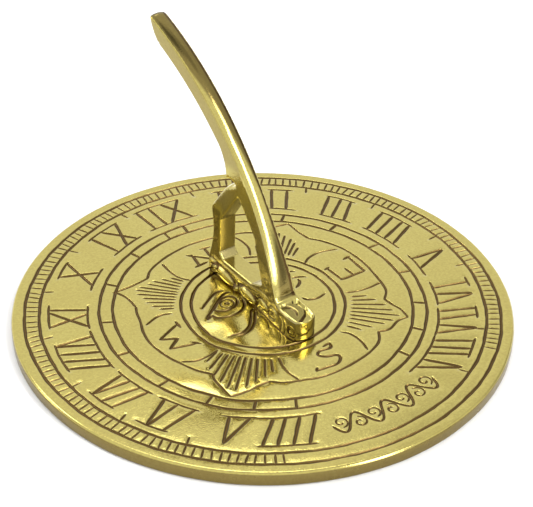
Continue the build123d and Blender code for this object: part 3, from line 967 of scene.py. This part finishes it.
def add_band(builder, loop, width, outward, crown, finish):
    """Closes the gnomon across its width along one outline, bulging by the crown. finish gives the
    marks along the outline at each part of the half width, from -1 in the west to 1 in the east."""
    normals = loop_normals(loop) * outward
    on_toe = (loop[:, 1] > TOE_TOP_FROM) & (loop[:, 0] < TOE_TOP_TO)
    rows, marks = [], []
    for part in np.linspace(-1, 1, BAND_STEPS + 1):
        bulge = crown * (1 - part ** 2) * ramp(loop[:, 1], CROWN_FROM, CROWN_FADE)
        fall, dark = toe_top(np.stack([part * width, loop[:, 0]], 1))
        fall, dark = np.where(on_toe & (abs(part) < 1), (fall, dark), 0)
        side = loop + normals * bulge[:, None]
        rows.append(np.column_stack([part * width, side[:, 0], side[:, 1] - fall + PLATE_TOP]))
        marks.append(np.where(dark > LEAST_MARK, dark, finish(loop, part)))
    corners = ((0, 0), (1, 0), (1, 1), (0, 1))
    builder.strip(rows, np.concatenate(marks), corners[::outward])


def make_gnomon():
    """The cast gnomon with rounded arrises and relief, which stands for the plain CAD one."""
    outline = gnomon_outline()
    window = resample_loop(rounded(WINDOW, WINDOW_CORNER_R), LOOP_STEP)
    builder = Builder()
    add_sides(builder, outline, window)
    for loop, outward, crown, finish in ((outline, 1, CROWN, outline_painted_reflection),
                                         (window, -1, WINDOW_CROWN, window_finish)):
        width, _ = rounded_half_width(loop, outline, window)
        add_band(builder, loop, width, outward, crown, finish)
    piece = builder.finish("cast_gnomon")
    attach(piece, "root")
    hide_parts("gnomon")
    return piece


# ---- materials
BRASS = (0.565, 0.487, 0.15, 1)
BRASS_WARM = (0.50, 0.41, 0.118, 1)
BRASS_DULL = (0.42, 0.34, 0.10, 1)
# the dark of patina in the cuts, also used for the painted shade and painted dark reflection on the
# gnomon
PATINA_AND_PAINTED_SHADE, PATINA_AND_SHADE_FULL = (0.072, 0.034, 0.012, 1), 0.36  # its colour, and the mark where it is full
RAW_CAST = (0.22, 0.18, 0.095, 1)
RAW_ROUGHNESS = 0.16
DRIFT, CLOUDS, SPECKLE, GRAIN = (34, 4), (60, 6), (900, 2), (1500, 3)  # noises: scale and detail
MOST_WARM, MOST_DULL = 0.45, 0.5  # the greatest shares of the warm and of the dull brass
GRAIN_DEPTH = 0.0002  # in metres


class Nodes:
    """The nodes of one material or world, added one at a time."""

    def __init__(self, owner):
        owner.use_nodes = True
        self.nodes, self.links = owner.node_tree.nodes, owner.node_tree.links
        self.new = self.nodes.new

    def fill(self, node, inputs):
        """Sets a node's inputs to numbers or colours, or links them to the outputs of others."""
        for name, value in inputs.items():
            if isinstance(value, bpy.types.NodeSocket):
                self.links.new(value, node.inputs[name])
            else:
                node.inputs[name].default_value = value

    def compute(self, operation, *values):
        """The result of one sum."""
        node = self.new("ShaderNodeMath")
        node.operation = operation
        self.fill(node, dict(enumerate(values)))
        return node.outputs["Value"]

    def noise(self, where, scale, detail):
        """A noise texture."""
        node = self.new("ShaderNodeTexNoise")
        self.fill(node, {"Vector": where, "Scale": scale, "Detail": detail, "Roughness": 0.55})
        return node.outputs["Fac"]

    def spread(self, value, low, high, to_low, to_high, kind="LINEAR"):
        """A value between low and high, spread over another range."""
        node = self.new("ShaderNodeMapRange")
        node.interpolation_type = kind
        self.fill(node, {"Value": value, "From Min": low, "From Max": high,
                         "To Min": to_low, "To Max": to_high})
        return node.outputs["Result"]

    def blend(self, share, first, second):
        """A mix of two colours."""
        node = self.new("ShaderNodeMix")
        node.data_type = "RGBA"
        self.fill(node, {"Factor": share, 6: first, 7: second})
        return node.outputs[2]


def brass(name, polish_low, polish_high, grain, patina_and_shade=0.0, matte=0.0):
    """Polished cast brass with a slight colour drift and a fine grain, its roughness between the
    two given. Given a share of dark, it takes patina, tarnish and painted shade, or raw casting,
    where the mesh is marked so, and matte is how much rougher the dark is."""
    material = bpy.data.materials.new(name)
    tree = Nodes(material)
    shader = tree.nodes["Principled BSDF"]
    where = tree.new("ShaderNodeTexCoord").outputs["Object"]
    drift = tree.spread(tree.noise(where, *DRIFT), 0.35, 0.7, 0, MOST_WARM)
    speckle = tree.spread(tree.noise(where, *SPECKLE), 0.35, 0.7, 0, MOST_DULL)
    colour = tree.blend(speckle, tree.blend(drift, BRASS, BRASS_WARM), BRASS_DULL)
    dull = tree.spread(tree.noise(where, *CLOUDS), 0.3, 0.75, polish_low, polish_high)
    if patina_and_shade:
        # the mesh's marks: patina in the cuts and tarnish, and on the gnomon painted shade and
        # painted dark reflection
        mark = tree.new("ShaderNodeAttribute")
        mark.attribute_name = "cut_depth"
        dark = tree.spread(mark.outputs["Fac"], 0, PATINA_AND_SHADE_FULL, 0, patina_and_shade)
        raw = tree.spread(mark.outputs["Fac"], 0, -1, 0, 1)
        colour = tree.blend(raw, tree.blend(dark, colour, PATINA_AND_PAINTED_SHADE), RAW_CAST)
        dull = tree.compute("MULTIPLY_ADD", raw, RAW_ROUGHNESS, dull)
        dull = tree.compute("MULTIPLY_ADD", dark, matte, dull)
    bump = tree.new("ShaderNodeBump")
    fine = tree.noise(where, *GRAIN)
    tree.fill(bump, {"Strength": grain, "Distance": GRAIN_DEPTH, "Height": fine})
    tree.fill(shader, {"Metallic": 1, "Base Color": colour, "Roughness": dull,
                       "Normal": bump.outputs["Normal"]})
    return material


def give(piece, material):
    """Puts one material on every face of a piece."""
    piece.data.materials.clear()
    piece.data.materials.append(material)


# ---- stage, light and camera
FLOOR_HALF, FLOOR_Z = 3.0, -0.0002  # in metres
FLOOR_COLOUR = (0.93, 0.93, 0.93, 1)
CAMERA_AT, CAMERA_AIM = (-303.2, -409.8, 383.5), (0.84, -0.62, 30.4)
CAMERA_ROLL = 0.9  # in degrees
SENSOR, LENS = 36, 105.335


def make_floor():
    """A plain pale floor, far wider than the view."""
    mesh = bpy.data.meshes.new("floor")
    signs = ((-1, -1), (1, -1), (1, 1), (-1, 1))
    corners = [(x * FLOOR_HALF, y * FLOOR_HALF, FLOOR_Z) for x, y in signs]
    mesh.from_pydata(corners, [], [(0, 1, 2, 3)])
    floor = bpy.data.objects.new("floor", mesh)
    bpy.context.scene.collection.objects.link(floor)
    material = bpy.data.materials.new("pale_floor")
    tree = Nodes(material)
    tree.fill(tree.nodes["Principled BSDF"], {"Base Color": FLOOR_COLOUR, "Roughness": 0.9})
    mesh.materials.append(material)


# soft patches of the studio's surroundings: direction, elevation, half size in degrees, and the
# brightness that each adds
PATCHES = (
    (57, 54, 6.5, 5), (112, 46, 7, 9), (136, 17, 6, 4), (40, 80, 7, -0.8), (44, 43, 4, -0.3),
    (-52, 59, 6, 7), (-80, 14, 6.5, 8), (-77, 26, 6.5, 8), (-74, 38, 6.5, 8), (-70, 50, 6.5, 11),
    (5, 68, 9, -0.5), (-6, 34, 22, -0.25), (-5, 14, 16, -0.3), (-52, 6, 10, -0.6),
    (128, 34, 16, -0.4),
)
PATCH_EDGE, PATCH_HEART = 1.4, 0.6  # a patch fades between these shares of its half size
SKY_LEVEL = 1.15


def make_world():
    """A light tent: an even pale dome with a few soft brighter and darker patches."""
    world = bpy.data.worlds.new("light_tent")
    tree = Nodes(world)
    where = tree.new("ShaderNodeTexCoord").outputs["Generated"]
    level = SKY_LEVEL
    for direction, elevation, size, brightness in PATCHES:
        flat, up = polar(1, elevation)
        near = tree.new("ShaderNodeVectorMath")
        near.operation = "DOT_PRODUCT"
        tree.fill(near, {0: where, 1: polar(flat, direction) + (up,)})
        edge, heart = (math.cos(math.radians(size * share)) for share in (PATCH_EDGE, PATCH_HEART))
        patch = tree.spread(near.outputs["Value"], edge, heart, 0, brightness, "SMOOTHSTEP")
        level = tree.compute("ADD", patch, level)
    tree.fill(tree.nodes["Background"], {"Color": (1, 1, 1, 1), "Strength": level})
    bpy.context.scene.world = world


def make_camera():
    """The camera at the photograph's angle."""
    data = bpy.data.cameras.new("camera")
    data.sensor_width = SENSOR
    data.sensor_fit = "HORIZONTAL"
    data.lens = LENS
    data.clip_start = 0.01
    camera = bpy.data.objects.new("camera", data)
    bpy.context.scene.collection.objects.link(camera)
    place, aim = Vector(CAMERA_AT) * MM, Vector(CAMERA_AIM) * MM
    camera.location = place
    camera.rotation_euler = (aim - place).to_track_quat("-Z", "Y").to_euler()
    camera.rotation_euler.rotate_axis("Z", math.radians(CAMERA_ROLL))
    bpy.context.scene.camera = camera


make_camera()
make_floor()
make_world()
plate_brass = brass("dial_brass", 0.07, 0.15, grain=0.2, patina_and_shade=0.93, matte=0.25)
gnomon_brass = brass("gnomon_brass", 0.05, 0.10, grain=0.1, patina_and_shade=0.95, matte=0.05)
screw_brass = brass("screw_brass", 0.2, 0.35, grain=0.2)
give(make_plate(), plate_brass)
give(make_gnomon(), gnomon_brass)
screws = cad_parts["gnomon_screws"]
give(screws, screw_brass)
bpy.context.scene.view_settings.view_transform = "Standard"
